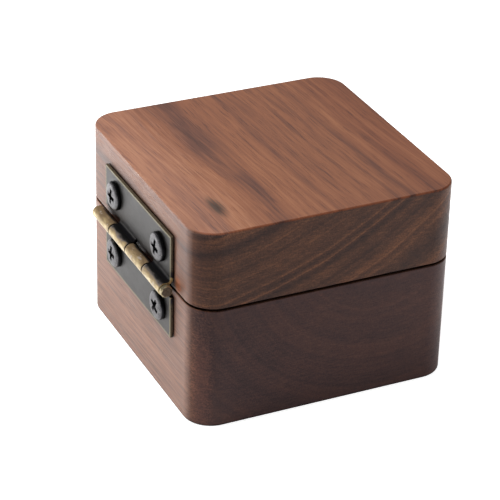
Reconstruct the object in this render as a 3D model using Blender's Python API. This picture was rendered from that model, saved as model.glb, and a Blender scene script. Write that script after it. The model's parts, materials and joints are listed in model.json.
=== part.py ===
"""Hinged walnut ring box, modelled as an assembly of separate pieces.

The origin is under the middle of the box, on the face it stands on. +Z is up, the hinge is on
the back at +Y, the lid lifts from the front at -Y, and left is -X. All lengths are in metres.
"""
import math

import bmesh
import bpy
from mathutils import Vector

# Wooden box
BOX_WIDTH = 0.050
BOX_DEPTH = 0.050
BOX_HEIGHT = 0.038
SEAM_HEIGHT = 0.0233
SEAM_GAP = 0.0005
CORNER_RADIUS = 0.0052
CORNER_STEPS = 8
TOP_EDGE_RADIUS = 0.0004
RIM_EDGE_RADIUS = 0.00015
WALL = 0.006
CAVITY_CORNER_RADIUS = 0.0032
FLOOR_THICKNESS = 0.004
ROOF_THICKNESS = 0.0043

# Clearances
REST_GAP = 0.0003
METAL_GAP = 0.0001

# Hinge: its barrel is a little longer than its plates, which stop short at the right
HINGE_X = -0.0001
HINGE_RISE = 0.0003
BARREL_LENGTH = 0.0306
PLATE_INSET = 0.0010
LEAF_REACH = 0.0099
SHEET = 0.00055
PIN_OFFSET = 0.0017
BARREL_RADIUS = 0.0012
KNUCKLES = 4
KNUCKLE_GAP = 0.00025
BEND_RADIUS = 0.0010
ROLL_SWEEP = math.radians(280)
ARC_STEP = math.radians(20)
PIN_CLEARANCE = 0.00008
PIN_HEAD_RADIUS = 0.0011
PIN_HEAD_THICKNESS = 0.0008
PIN_EDGE = 0.00015

# Screws
SCREW_SPACING = 0.0200
SCREW_RISE = 0.0058
SCREW_HEAD_RADIUS = 0.00265
SCREW_HEAD_HEIGHT = 0.00095
SCREW_SHANK_RADIUS = 0.0009
SCREW_LENGTH = 0.0056
SCREW_TIP = 0.0012
SCREW_HOLE_RADIUS = 0.00115
RECESS_SPAN = 0.0032
RECESS_WIDTH = 0.0009
RECESS_DEPTH = 0.0007
RECESS_TURNS = {"lid_left": 10, "lid_right": 8, "base_left": 32, "base_right": 5}
PILOT_HOLE_DEPTH = 0.0051

# Magnets
MAGNET_RADIUS = 0.002
MAGNET_THICKNESS = 0.002
MAGNET_POSITION = 0.0212
MAGNET_SIDE_GAP = 0.00015

# Ring insert and lid pad
CARD = 0.0008
VELVET = 0.0005
SLOT_WIDTH = 0.0022
ROLL_HEIGHT = 0.0145
ROLL_EDGE_RADIUS = 0.0050
PAD_FOAM_THICKNESS = 0.0013
PAD_EDGE_RADIUS = 0.0006

ROUND_STEPS = 24
SMALL_ROUND_STEPS = 16

PIN_Y = BOX_DEPTH / 2 + PIN_OFFSET
PIN_Z = SEAM_HEIGHT + HINGE_RISE
BARREL_LEFT = HINGE_X - BARREL_LENGTH / 2
BARREL_RIGHT = HINGE_X + BARREL_LENGTH / 2
PLATE_RIGHT = BARREL_RIGHT - PLATE_INSET
BASE_TOP = SEAM_HEIGHT - SEAM_GAP / 2
LID_BOTTOM = SEAM_HEIGHT + SEAM_GAP / 2
CAVITY_HALF = BOX_WIDTH / 2 - WALL
PLATE_FACE = BOX_DEPTH / 2 + METAL_GAP + SHEET


def clear_scene():
    for old in list(bpy.data.objects):
        bpy.data.objects.remove(old, do_unlink=True)


# Materials


def material(name, colour, roughness, metallic=0.0):
    made = bpy.data.materials.new(name)
    made.use_nodes = True
    shader = made.node_tree.nodes["Principled BSDF"]
    shader.inputs["Base Color"].default_value = (*colour, 1.0)
    shader.inputs["Roughness"].default_value = roughness
    shader.inputs["Metallic"].default_value = metallic
    made.diffuse_color = (*colour, 1.0)
    return made


def make_materials():
    return {
        "walnut": material("walnut", (0.20, 0.10, 0.06), 0.45),
        "bronze": material("bronze", (0.16, 0.14, 0.13), 0.40, 0.9),
        "pin_brass": material("pin_brass", (0.42, 0.33, 0.20), 0.35, 1.0),
        "screw_black": material("screw_black", (0.08, 0.07, 0.07), 0.40, 0.9),
        "nickel": material("nickel", (0.60, 0.59, 0.56), 0.25, 1.0),
        "card": material("card", (0.42, 0.36, 0.28), 0.85),
        "foam": material("foam", (0.75, 0.72, 0.62), 0.90),
        "velvet": material("velvet", (0.62, 0.52, 0.38), 0.80),
    }


# Building blocks


def rounded_rectangle(half_x, half_y, radius, z, centre_y=0.0):
    """Points round a rectangle with rounded corners, anticlockwise seen from above."""
    corners = [(1, 1, 0), (-1, 1, 90), (-1, -1, 180), (1, -1, 270)]
    points = []
    for side_x, side_y, start in corners:
        for step in range(CORNER_STEPS + 1):
            angle = math.radians(start + 90 * step / CORNER_STEPS)
            x = side_x * (half_x - radius) + radius * math.cos(angle)
            y = side_y * (half_y - radius) + radius * math.sin(angle)
            points.append(Vector((x, centre_y + y, z)))
    return points


def circle(radius, steps, centre, side, up):
    """Points round a circle in the plane of the unit vectors side and up."""
    angles = [2 * math.pi * step / steps for step in range(steps)]
    return [centre + radius * (math.cos(a) * side + math.sin(a) * up) for a in angles]


def loft(name, rings):
    """One closed skin through rings that have the same number of points, capped at both ends."""
    bm = bmesh.new()
    loops = [[bm.verts.new(point) for point in ring] for ring in rings]
    count = len(loops[0])
    for lower, upper in zip(loops, loops[1:]):
        for index in range(count):
            after = (index + 1) % count
            bm.faces.new((lower[index], lower[after], upper[after], upper[index]))
    bm.faces.new(loops[0])
    bm.faces.new(loops[-1])
    bmesh.ops.recalc_face_normals(bm, faces=bm.faces)
    return finish_mesh(name, bm)


def finish_mesh(name, bm):
    mesh = bpy.data.meshes.new(name)
    bm.to_mesh(mesh)
    bm.free()
    mesh.shade_smooth()
    mesh.set_sharp_from_angle(angle=math.radians(35))
    return mesh


def place(name, mesh, finish, parent):
    """An object made of world-space mesh, parented to an empty and drawn about its origin."""
    mesh.materials.append(finish)
    made = bpy.data.objects.new(name, mesh)
    bpy.context.collection.objects.link(made)
    origin = Vector(parent.location)
    for vertex in mesh.vertices:
        vertex.co -= origin
    made.parent = parent
    return made


def cutter(name, mesh):
    made = bpy.data.objects.new(name, mesh)
    bpy.context.collection.objects.link(made)
    made.hide_render = True
    made.display_type = "WIRE"
    return made


def cut(target, tools):
    for tool in tools:
        hole = target.modifiers.new(tool.name, "BOOLEAN")
        hole.operation = "DIFFERENCE"
        hole.solver = "EXACT"
        hole.object = tool


def rod(name, radius, steps, start, end, side, up):
    """A plain cylinder from start to end, at right angles to side and up."""
    rings = [circle(radius, steps, centre, side, up) for centre in (start, end)]
    return loft(name, rings)


def body_empty(name, location):
    made = bpy.data.objects.new(name, None)
    bpy.context.collection.objects.link(made)
    made.location = location
    return made


# Wooden blocks


def rounded_edge(half, corner, z_edge, radius, inward, vertical, steps=2):
    """Rings that turn a block's upright side into a level face at z_edge."""
    rings = []
    for step in range(steps + 1):
        angle = math.pi / 2 * step / steps
        inset = inward * radius * (1 - math.cos(angle))
        z = z_edge - vertical * radius * (1 - math.sin(angle))
        rings.append(rounded_rectangle(half - inset, half - inset, corner - inset, z))
    return rings


def box_shell(name, closed_z, closed_radius, rim_z, cavity_z):
    """A block hollowed from its rim, from the closed outer face to the cavity's flat end."""
    half = BOX_WIDTH / 2
    out = 1 if rim_z > closed_z else -1
    closed_edge = rounded_edge(half, CORNER_RADIUS, closed_z, closed_radius, 1, -out)
    rim_outer = rounded_edge(half, CORNER_RADIUS, rim_z, RIM_EDGE_RADIUS, 1, out)
    rim_inner = rounded_edge(
        CAVITY_HALF, CAVITY_CORNER_RADIUS, rim_z, RIM_EDGE_RADIUS, -1, out)
    cavity_end = rounded_rectangle(CAVITY_HALF, CAVITY_HALF, CAVITY_CORNER_RADIUS, cavity_z)
    rings = closed_edge[::-1] + rim_outer + rim_inner[::-1] + [cavity_end]
    return loft(name, rings)


def pilot_holes(prefix, z):
    """Cutters for the two screw holes that a block has in its back wall."""
    inner_end = BOX_DEPTH / 2 - PILOT_HOLE_DEPTH
    return [screw_hole(f"{prefix}_{label}", x, z, inner_end) for label, x in screw_columns()]


def magnet_pockets(prefix, rim_z, out):
    """Cutters for the two magnet pockets that a block has in its rim, which faces out."""
    depth = MAGNET_THICKNESS + REST_GAP
    tools = []
    for label, side in (("left", -1), ("right", 1)):
        mouth = Vector((side * MAGNET_POSITION, -MAGNET_POSITION, rim_z + out * 0.001))
        end = Vector((mouth.x, mouth.y, rim_z - out * depth))
        mesh = rod(f"{prefix}_{label}", MAGNET_RADIUS + MAGNET_SIDE_GAP, ROUND_STEPS, mouth, end,
                   Vector((1, 0, 0)), Vector((0, 1, 0)))
        tools.append(cutter(f"{prefix}_{label}", mesh))
    return tools


def make_base_box(finish, body):
    mesh = box_shell("base_box", 0.0, TOP_EDGE_RADIUS, BASE_TOP, FLOOR_THICKNESS)
    base = place("base_box", mesh, finish["walnut"], body)
    cut(base, pilot_holes("base_pilot_hole", PIN_Z - SCREW_RISE))
    cut(base, magnet_pockets("base_magnet_pocket", BASE_TOP, 1))


def make_lid_box(finish, body):
    mesh = box_shell(
        "lid_box", BOX_HEIGHT, TOP_EDGE_RADIUS, LID_BOTTOM, BOX_HEIGHT - ROOF_THICKNESS)
    lid = place("lid_box", mesh, finish["walnut"], body)
    cut(lid, pilot_holes("lid_pilot_hole", PIN_Z + SCREW_RISE))
    cut(lid, magnet_pockets("lid_magnet_pocket", LID_BOTTOM, -1))


# Hinge


def sheet_section():
    """Middle line of a leaf's sheet as (y, z) from the pin's axis, for the leaf above the pin.

    It comes down the flat plate, bends outward, passes over the pin and rolls round it. The
    bend's arc touches the roll's arc where the two centres' line crosses them.
    """
    plate_y = METAL_GAP + SHEET / 2 - PIN_OFFSET
    roll = BARREL_RADIUS - SHEET / 2
    bend_y = plate_y + BEND_RADIUS
    bend_z = math.sqrt((BEND_RADIUS + roll) ** 2 - bend_y ** 2)
    contact = math.atan2(bend_z, bend_y)
    section = [(plate_y, LEAF_REACH)]
    bend_steps = 5
    for step in range(bend_steps + 1):
        angle = math.pi + contact * step / bend_steps
        y = bend_y + BEND_RADIUS * math.cos(angle)
        z = bend_z + BEND_RADIUS * math.sin(angle)
        section.append((y, z))
    roll_steps = round(ROLL_SWEEP / ARC_STEP)
    for step in range(1, roll_steps + 1):
        angle = contact - ROLL_SWEEP * step / roll_steps
        section.append((roll * math.cos(angle), roll * math.sin(angle)))
    return section


def knuckle_spans(first):
    """The stretches of X that hold every second knuckle, counted from the right end."""
    width = BARREL_LENGTH / KNUCKLES
    spans = []
    for index in range(first, KNUCKLES, 2):
        high = BARREL_RIGHT - index * width
        trim_high = KNUCKLE_GAP / 2 if index > 0 else 0.0
        trim_low = KNUCKLE_GAP / 2 if index < KNUCKLES - 1 else 0.0
        spans.append((high - width + trim_low, high - trim_high))
    return spans


def leaf_sheet(name, first_knuckle, up):
    """The leaf's sheet without thickness: a plate whose knuckle stretches go on into rolls.

    Stations along X are rounded to a micron, so that marks at the same place are one station.
    """
    section = sheet_section()
    spans = knuckle_spans(first_knuckle)
    marks = [BARREL_LEFT, PLATE_RIGHT] + [end for span in spans for end in span]
    stations = sorted({round(mark, 6) for mark in marks})
    bm = bmesh.new()
    corners = {}

    def corner(column, row):
        if (column, row) not in corners:
            y, z = section[row]
            point = Vector((stations[column], PIN_Y + y, PIN_Z + up * z))
            corners[column, row] = bm.verts.new(point)
        return corners[column, row]

    for column in range(len(stations) - 1):
        middle = (stations[column] + stations[column + 1]) / 2
        is_knuckle = any(low < middle < high for low, high in spans)
        first_row = 0 if middle < PLATE_RIGHT else 1
        last_row = len(section) - 1 if is_knuckle else 1
        for row in range(first_row, last_row):
            bm.faces.new((corner(column, row), corner(column + 1, row),
                          corner(column + 1, row + 1), corner(column, row + 1)))
    return finish_mesh(name, bm)


def make_leaf(name, finish, body, first_knuckle, up):
    leaf = place(name, leaf_sheet(name, first_knuckle, up), finish["bronze"], body)
    thickness = leaf.modifiers.new("sheet", "SOLIDIFY")
    thickness.thickness = SHEET
    thickness.offset = 0.0
    thickness.use_even_offset = True
    inner_end = BOX_DEPTH / 2 - METAL_GAP
    z = PIN_Z + up * SCREW_RISE
    tools = [screw_hole(f"{name}_hole_{label}", x, z, inner_end) for label, x in screw_columns()]
    cut(leaf, tools)


def make_pin(finish, body):
    """The pin runs along X, with a flat head at the left end and its right end cut flush."""
    shaft = BARREL_RADIUS - SHEET - PIN_CLEARANCE
    right_end = BARREL_RIGHT
    inner_head = BARREL_LEFT - METAL_GAP
    outer_head = inner_head - PIN_HEAD_THICKNESS
    profile = [
        (outer_head, PIN_HEAD_RADIUS - PIN_EDGE),
        (outer_head + PIN_EDGE, PIN_HEAD_RADIUS),
        (inner_head, PIN_HEAD_RADIUS),
        (inner_head, shaft),
        (right_end - PIN_EDGE, shaft),
        (right_end, shaft - PIN_EDGE),
    ]
    rings = []
    for x, radius in profile:
        centre = Vector((x, PIN_Y, PIN_Z))
        rings.append(circle(radius, SMALL_ROUND_STEPS, centre, Vector((0, 1, 0)),
                            Vector((0, 0, 1))))
    place("hinge_pin", loft("hinge_pin", rings), finish["pin_brass"], body)


# Screws


def screw_columns():
    """The two screw positions along X, evenly about the plates' middle."""
    middle = (BARREL_LEFT + PLATE_RIGHT) / 2
    return [("left", middle - SCREW_SPACING / 2), ("right", middle + SCREW_SPACING / 2)]


def screw_hole(name, x, z, inner_end):
    """A cutter for a round hole along Y, from outside the hinge in to inner_end."""
    start = Vector((x, inner_end, z))
    end = Vector((x, PLATE_FACE + 0.001, z))
    mesh = rod(name, SCREW_HOLE_RADIUS, SMALL_ROUND_STEPS, start, end,
               Vector((1, 0, 0)), Vector((0, 0, 1)))
    return cutter(name, mesh)


def recess_slab(name, x, z, turn):
    """A tapered slab across the screw's head, one arm pair of its cross recess."""
    face_y = PLATE_FACE + METAL_GAP + SCREW_HEAD_HEIGHT
    along = Vector((math.cos(turn), 0, math.sin(turn)))
    across = Vector((-math.sin(turn), 0, math.cos(turn)))
    rings = []
    for y, share in ((face_y + 0.0005, 1.4), (face_y - RECESS_DEPTH, 0.45)):
        centre = Vector((x, y, z))
        long_half = share * RECESS_SPAN / 2
        short_half = RECESS_WIDTH / 2
        rings.append([centre + a * long_half * along + b * short_half * across
                      for a, b in ((1, 1), (-1, 1), (-1, -1), (1, -1))])
    return cutter(name, loft(name, rings))


def make_screw(label, finish, body, x, z):
    """A pan-head wood screw that points into the wood along -Y."""
    name = f"hinge_screw_{label}"
    seat = PLATE_FACE + METAL_GAP
    top = seat + SCREW_HEAD_HEIGHT
    tip = seat - SCREW_LENGTH
    dome = 0.5 * SCREW_HEAD_HEIGHT
    profile = [
        (tip, 0.1 * SCREW_SHANK_RADIUS), (tip + SCREW_TIP, SCREW_SHANK_RADIUS),
        (seat, SCREW_SHANK_RADIUS), (seat, SCREW_HEAD_RADIUS),
        (top - dome, SCREW_HEAD_RADIUS), (top - 0.3 * dome, 0.9 * SCREW_HEAD_RADIUS),
        (top, 0.66 * SCREW_HEAD_RADIUS),
    ]
    rings = []
    for y, radius in profile:
        centre = Vector((x, y, z))
        rings.append(circle(radius, ROUND_STEPS, centre, Vector((1, 0, 0)), Vector((0, 0, 1))))
    screw = place(name, loft(name, rings), finish["screw_black"], body)
    turns = [math.radians(RECESS_TURNS[label] + quarter) for quarter in (0, 90)]
    cut(screw, [recess_slab(f"{name}_recess_{index}", x, z, turn)
                for index, turn in enumerate(turns)])


def make_screws(side, finish, body, z):
    for label, x in screw_columns():
        make_screw(f"{side}_{label}", finish, body, x, z)


# Magnets


def make_magnets(side, finish, body, rim_z, out):
    """Two disc magnets just under the surface of a rim that faces out, +1 for up."""
    outer_z = rim_z - out * METAL_GAP
    inner_z = outer_z - out * MAGNET_THICKNESS
    for label, x in (("left", -MAGNET_POSITION), ("right", MAGNET_POSITION)):
        name = f"rim_magnet_{side}_{label}"
        start = Vector((x, -MAGNET_POSITION, inner_z))
        end = Vector((x, -MAGNET_POSITION, outer_z))
        mesh = rod(name, MAGNET_RADIUS, ROUND_STEPS, start, end,
                   Vector((1, 0, 0)), Vector((0, 1, 0)))
        place(name, mesh, finish["nickel"], body)


# Ring insert in the base


def padded_rings(half_x, half_y, corner, centre_y, bottom, top, edge, steps=5):
    """Rings up a block whose top edge is rounded by the radius edge."""
    rings = [rounded_rectangle(half_x, half_y, corner, bottom, centre_y)]
    for step in range(steps + 1):
        angle = math.pi / 2 * step / steps
        inset = edge * (1 - math.cos(angle))
        z = top - edge * (1 - math.sin(angle))
        corner_here = corner + inset * 0.5
        rings.append(rounded_rectangle(half_x - inset, half_y - inset,
                                       corner_here, z, centre_y))
    return rings


def make_insert_board(finish, body):
    half = CAVITY_HALF - REST_GAP
    corner = CAVITY_CORNER_RADIUS - REST_GAP
    bottom = FLOOR_THICKNESS + REST_GAP
    rings = [rounded_rectangle(half, half, corner, z) for z in (bottom, bottom + CARD)]
    place("insert_board", loft("insert_board", rings), finish["card"], body)


def make_ring_roll(label, side, finish, body):
    """One foam roll and the velvet over it; the ring stands between the two rolls."""
    bottom = FLOOR_THICKNESS + CARD + 2 * REST_GAP
    top = bottom + ROLL_HEIGHT
    half_x = CAVITY_HALF - REST_GAP
    half_y = (CAVITY_HALF - REST_GAP - SLOT_WIDTH / 2) / 2
    centre_y = side * (SLOT_WIDTH / 2 + half_y)
    corner = CAVITY_CORNER_RADIUS
    skin = padded_rings(half_x, half_y, corner, centre_y, bottom, top, ROLL_EDGE_RADIUS)
    inside = padded_rings(half_x - VELVET, half_y - VELVET, corner - VELVET, centre_y, bottom,
                          top - VELVET, ROLL_EDGE_RADIUS - VELVET)
    name = f"ring_velvet_{label}"
    place(name, loft(name, inside[::-1] + skin), finish["velvet"], body)
    shrink = VELVET + REST_GAP
    foam = padded_rings(half_x - shrink, half_y - shrink, corner - shrink, centre_y, bottom,
                        top - shrink, ROLL_EDGE_RADIUS - shrink)
    name = f"ring_foam_{label}"
    place(name, loft(name, foam), finish["foam"], body)


# Pad in the lid


def make_lid_pad(finish, body):
    """Card against the lid's roof, foam under it, and velvet drawn up round both."""
    roof = BOX_HEIGHT - ROOF_THICKNESS
    card_top = roof - REST_GAP
    card_bottom = card_top - CARD
    foam_top = card_bottom - REST_GAP
    foam_bottom = foam_top - PAD_FOAM_THICKNESS
    velvet_bottom = foam_bottom - REST_GAP - VELVET
    half = CAVITY_HALF - REST_GAP
    corner = CAVITY_CORNER_RADIUS - REST_GAP
    shrink = VELVET + REST_GAP
    card = [rounded_rectangle(half - shrink, half - shrink, corner - shrink, z)
            for z in (card_bottom, card_top)]
    place("lid_pad_board", loft("lid_pad_board", card), finish["card"], body)
    foam = [rounded_rectangle(half - shrink, half - shrink, corner - shrink, z)
            for z in (foam_bottom, foam_top)]
    place("lid_pad_foam", loft("lid_pad_foam", foam), finish["foam"], body)
    outside = rounded_edge(half, corner, velvet_bottom, PAD_EDGE_RADIUS, 1, -1)
    outside = outside[::-1] + [rounded_rectangle(half, half, corner, card_top)]
    inside = [rounded_rectangle(half - VELVET, half - VELVET, corner - VELVET, z)
              for z in (card_top, velvet_bottom + VELVET)]
    mesh = loft("lid_pad_velvet", outside + inside)
    place("lid_pad_velvet", mesh, finish["velvet"], body)


def build():
    clear_scene()
    finish = make_materials()
    base = body_empty("base_body", (0, 0, 0))
    lid = body_empty("lid_body", (0, PIN_Y, PIN_Z))
    bpy.context.view_layer.update()
    make_base_box(finish, base)
    make_lid_box(finish, lid)
    make_leaf("hinge_leaf_base", finish, base, 0, -1)
    make_leaf("hinge_leaf_lid", finish, lid, 1, 1)
    make_pin(finish, base)
    make_screws("base", finish, base, PIN_Z - SCREW_RISE)
    make_screws("lid", finish, lid, PIN_Z + SCREW_RISE)
    make_magnets("base", finish, base, BASE_TOP, 1)
    make_magnets("lid", finish, lid, LID_BOTTOM, -1)
    make_insert_board(finish, base)
    make_ring_roll("front", -1, finish, base)
    make_ring_roll("rear", 1, finish, base)
    make_lid_pad(finish, lid)


build()
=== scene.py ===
"""Looks of the hinged walnut ring box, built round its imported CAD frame."""

import json
import math

import bmesh
import bpy
from mathutils import Matrix, Quaternion, Vector


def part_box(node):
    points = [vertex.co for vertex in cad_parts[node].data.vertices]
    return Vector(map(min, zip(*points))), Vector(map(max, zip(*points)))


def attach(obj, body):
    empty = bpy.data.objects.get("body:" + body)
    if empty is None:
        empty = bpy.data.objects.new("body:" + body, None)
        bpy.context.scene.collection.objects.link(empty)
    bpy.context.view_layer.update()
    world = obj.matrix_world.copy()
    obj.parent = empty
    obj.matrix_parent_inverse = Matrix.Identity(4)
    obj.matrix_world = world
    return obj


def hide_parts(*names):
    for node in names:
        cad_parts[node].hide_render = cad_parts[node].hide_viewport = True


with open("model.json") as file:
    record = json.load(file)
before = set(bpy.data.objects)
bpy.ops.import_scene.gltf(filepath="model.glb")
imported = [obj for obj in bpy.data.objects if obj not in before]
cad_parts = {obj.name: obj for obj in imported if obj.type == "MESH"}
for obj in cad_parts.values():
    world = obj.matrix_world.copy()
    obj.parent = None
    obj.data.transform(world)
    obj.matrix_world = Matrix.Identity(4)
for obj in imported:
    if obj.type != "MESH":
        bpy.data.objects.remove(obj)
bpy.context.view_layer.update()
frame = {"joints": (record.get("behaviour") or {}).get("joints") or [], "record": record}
record = frame["record"]
body_of_node = {node: body for body, nodes in record["behaviour"]["bodies"].items()
                for node in nodes}
box_low, box_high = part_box("base_box")
lid_low, lid_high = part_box("lid_box")
BOX_WIDTH = box_high.x - box_low.x
PIN = Vector(frame["joints"][0]["pos_m"])

# The rest of the constants are what the frame's boxes don't state
MM = 0.001
X_AXIS, Y_AXIS, Z_AXIS = Vector((1, 0, 0)), Vector((0, 1, 0)), Vector((0, 0, 1))
ROUND_STEPS = 64
HOLE_STEPS = 48

# Wooden blocks
CORNER_RADIUS = 5.2 * MM
CAVITY_CORNER_RADIUS = 3.2 * MM
WALL = 6.0 * MM
FLOOR_THICKNESS = 4.0 * MM
ROOF_THICKNESS = 4.3 * MM
TOP_EDGE_RADIUS = 0.4 * MM
RIM_EDGE_RADIUS = 0.15 * MM
PILOT_SPARE = 0.2 * MM
MAGNET_SIDE_GAP = 0.15 * MM

# Hinge
SHEET = 0.55 * MM
SHEET_EDGE = 0.10 * MM
KNUCKLES = 4
KNUCKLE_GAP = 0.25 * MM
BEND_RADIUS = 1.0 * MM
ROLL_SWEEP = math.radians(280)
PIN_CLEARANCE = 0.08 * MM
PIN_HEAD_GAP = 0.1 * MM
PIN_HEAD_EDGE = 0.16 * MM

# Screws, with the degrees that each one's recess is turned
SCREW_HOLE_RADIUS = 1.15 * MM
SCREW_HEAD_HEIGHT = 0.95 * MM
SCREW_EDGE = 0.05 * MM
THREAD_CORE = 0.62 * MM
THREAD_CREST = 0.9 * MM
RECESS_TURNS = {"lid_left": 10, "lid_right": 8, "base_left": 32, "base_right": 5}

# Magnets, ring insert and lid pad
MAGNET_EDGE = 0.15 * MM
CARD_EDGE = 0.08 * MM
LINING_GAP = 0.3 * MM
ROLL_EDGE = 5.0 * MM
ROLL_FOAM_EDGE = 4.2 * MM
ROLL_FOAM_CORNER = 2.4 * MM
PAD_EDGE = 0.6 * MM
PAD_FOAM_EDGE = 0.3 * MM
PAD_CORNER = 2.1 * MM
VELVET = 0.35 * MM
VELVET_SLACK = 0.15 * MM

# Cloth is simulated on an enlarged copy, where its stiffness and mass suit the solver
CLOTH_SCALE = 10.0
CLOTH_VOXEL = 0.8 * MM
CLOTH_FRAMES = 20
CLOTH_SETTINGS = {"quality": 5, "mass": 0.3, "tension_stiffness": 15,
                  "compression_stiffness": 15, "bending_stiffness": 0.5, "use_pressure": True,
                  "uniform_pressure_force": 4, "shrink_min": -0.04}
GLUED_DEPTH = 0.5 * MM
OPEN_DEPTH = 0.3 * MM
ROLL_SWELL = 0.9 * MM
PAD_SWELL = 0.5 * MM

# Camera: its aim, and its distance from that, are in box widths, and its lens in millimetres
CAMERA_AZIMUTH = math.radians(244.24)
CAMERA_ELEVATION = math.radians(29.14)
CAMERA_ROLL = math.radians(1.59)
CAMERA_DISTANCE = 8.183
CAMERA_AIM = (0.161, -0.010, 0.268)
CAMERA_LENS = 158.9

# Studio: each light is its name, place, aim, size and power
FLOOR_SIZE = 6.0
FLOOR_GAP = 0.05 * MM
FLOOR_GLOW = 0.80
WORLD_GLOW = 0.12
LIGHTS = [("overhead", (0.03, 0.087, 0.195), (0, 0, 0.03), (0.10, 0.10), 0.54),
          ("card", (0.12, 0.11, 0.012), (0, 0.02, 0.012), (0.10, 0.03), 0.110),
          ("fill", (-0.30, -0.28, 0.16), (0, 0, 0.02), (0.30, 0.20), 0.85)]


# Mesh tools


def rounded_rectangle(half_x, half_y, radius, z, centre_y=0.0, steps=20):
    """Points round a rectangle with rounded corners, anticlockwise seen from above."""
    points = []
    for side_x, side_y, start in ((1, 1, 0), (-1, 1, 90), (-1, -1, 180), (1, -1, 270)):
        for step in range(steps + 1):
            angle = math.radians(start + 90 * step / steps)
            x = side_x * (half_x - radius) + radius * math.cos(angle)
            y = side_y * (half_y - radius) + radius * math.sin(angle)
            points.append(Vector((x, centre_y + y, z)))
    return points


def circle(radius, steps, centre, side, up):
    """Points round a circle in the plane of the unit vectors side and up."""
    angles = [2 * math.pi * step / steps for step in range(steps)]
    return [centre + radius * (math.cos(a) * side + math.sin(a) * up) for a in angles]


def loft(name, rings, sharp_angle=35):
    """One closed skin through rings that have the same number of points, capped at the ends."""
    bm = bmesh.new()
    loops = [[bm.verts.new(point) for point in ring] for ring in rings]
    count = len(loops[0])
    for lower, upper in zip(loops, loops[1:]):
        for index in range(count):
            after = (index + 1) % count
            bm.faces.new((lower[index], lower[after], upper[after], upper[index]))
    bm.faces.new(loops[0])
    bm.faces.new(loops[-1])
    bmesh.ops.recalc_face_normals(bm, faces=bm.faces)
    return mesh_from(name, bm, sharp_angle)


def mesh_from(name, bm, sharp_angle=35):
    """A mesh from bm, shaded smooth except along edges sharper than sharp_angle degrees."""
    mesh = bpy.data.meshes.new(name)
    bm.to_mesh(mesh)
    bm.free()
    mesh.shade_smooth()
    mesh.set_sharp_from_angle(angle=math.radians(sharp_angle))
    return mesh


def stand_for(node, mesh, finish):
    """Shows mesh in place of a CAD node, on that node's body, with finish as its material."""
    piece = bpy.data.objects.new(f"{node}_detailed", mesh)
    bpy.context.scene.collection.objects.link(piece)
    mesh.materials.append(finish)
    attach(piece, body_of_node[node])
    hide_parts(node)
    return piece


def cut(piece, meshes):
    """Cuts each mesh out of piece, and keeps the result as the piece's own mesh."""
    for mesh in meshes:
        tool = bpy.data.objects.new(mesh.name, mesh)
        bpy.context.scene.collection.objects.link(tool)
        hole = piece.modifiers.new(mesh.name, "BOOLEAN")
        hole.operation = "DIFFERENCE"
        hole.solver = "EXACT"
        hole.object = tool
    bake_modifiers(piece)
    for mesh in meshes:
        bpy.data.objects.remove(bpy.data.objects[mesh.name])


def bake_modifiers(piece):
    """Replaces a piece's mesh by its mesh with all modifiers applied."""
    bpy.context.view_layer.update()
    graph = bpy.context.evaluated_depsgraph_get()
    made = bpy.data.meshes.new_from_object(piece.evaluated_get(graph), depsgraph=graph)
    piece.modifiers.clear()
    piece.data = made


def soften_edges(piece, width):
    """A small bevel on a piece's sharp edges, with shading that keeps the flats flat."""
    bevel = piece.modifiers.new("edges", "BEVEL")
    bevel.width = width
    bevel.segments = 2
    bevel.limit_method = "ANGLE"
    bevel.angle_limit = math.radians(40)
    bevel.use_clamp_overlap = True
    keep_flats_flat(piece)


def keep_flats_flat(piece):
    """Weights the shading by face area, so that large faces look flat beside narrow ones."""
    weighted = piece.modifiers.new("flats", "WEIGHTED_NORMAL")
    weighted.keep_sharp = True
    weighted.weight = 100


# Material tools


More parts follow.
